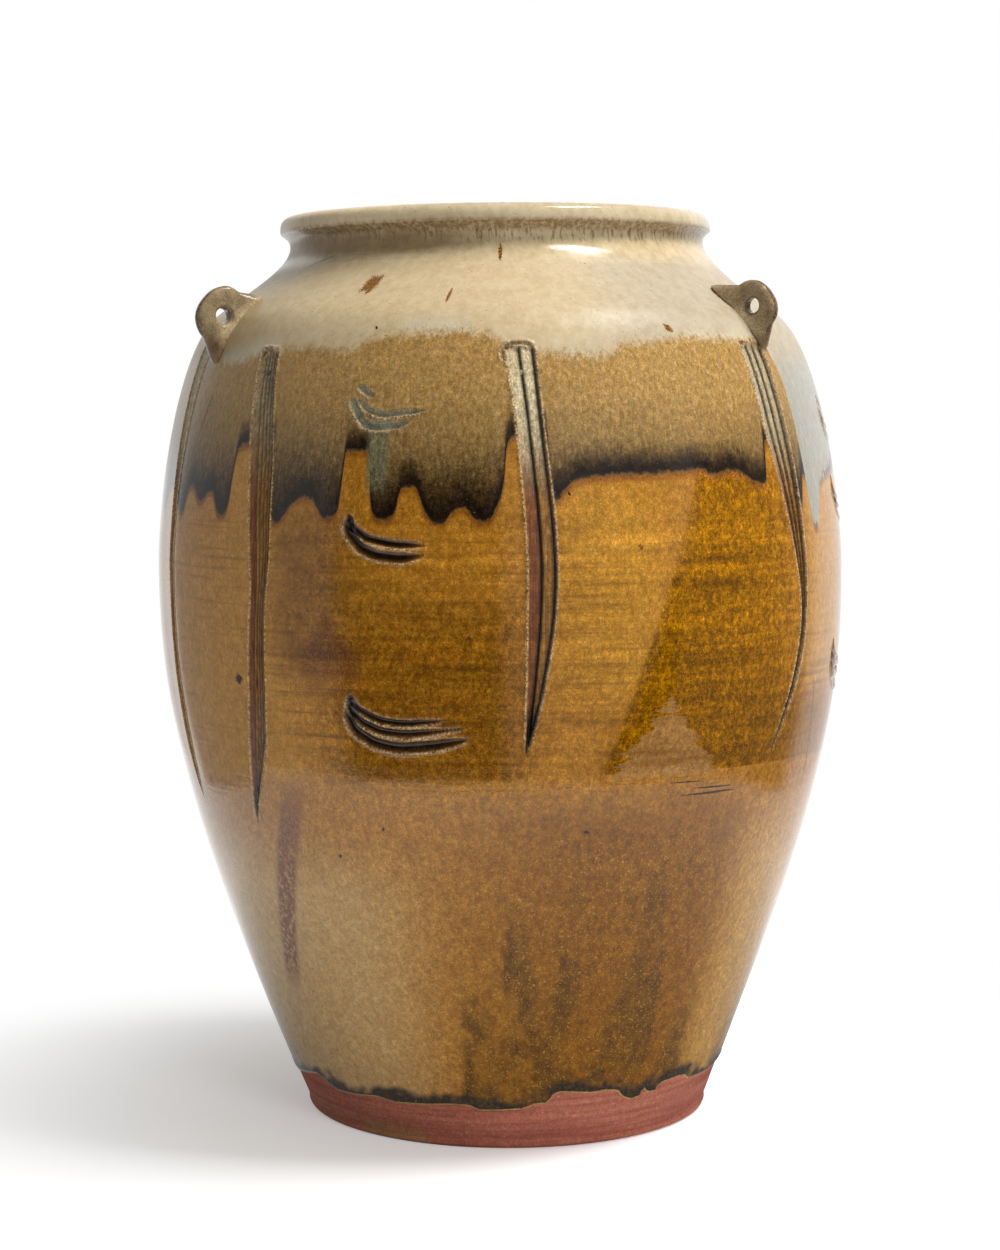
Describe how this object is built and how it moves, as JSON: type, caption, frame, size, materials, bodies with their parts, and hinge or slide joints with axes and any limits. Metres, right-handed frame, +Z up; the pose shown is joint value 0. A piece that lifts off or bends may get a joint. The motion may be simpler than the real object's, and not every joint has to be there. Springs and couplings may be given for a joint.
{
  "type": "lugged jar",
  "caption": "Large stoneware storage jar with a high round shoulder, short neck, rolled lip and pierced lugs for a cord.",
  "frame": {"origin": "centre of the foot, on the surface that the jar stands on", "axes": "+Z up through the mouth; -Y is the front that the picture shows; +X is the viewer's right"},
  "size_m": [0.292, 0.292, 0.3808],
  "materials": {
    "amber_glaze": "glossy amber ash glaze over red-brown stoneware, bare at the foot",
    "dark_glaze": "glossy olive and black-brown ash glaze that runs",
    "cream_glaze": "satin cream ash glaze",
    "lug_glaze": "thin brown ash glaze, breaking over the edges"
  },
  "bodies": {
    "root": {"base_section": "amber_glaze", "shoulder_section": "dark_glaze", "neck_and_rim": "cream_glaze", "lug_left": "lug_glaze", "lug_right": "lug_glaze", "lug_back": "lug_glaze"}
  },
  "joints": []
}
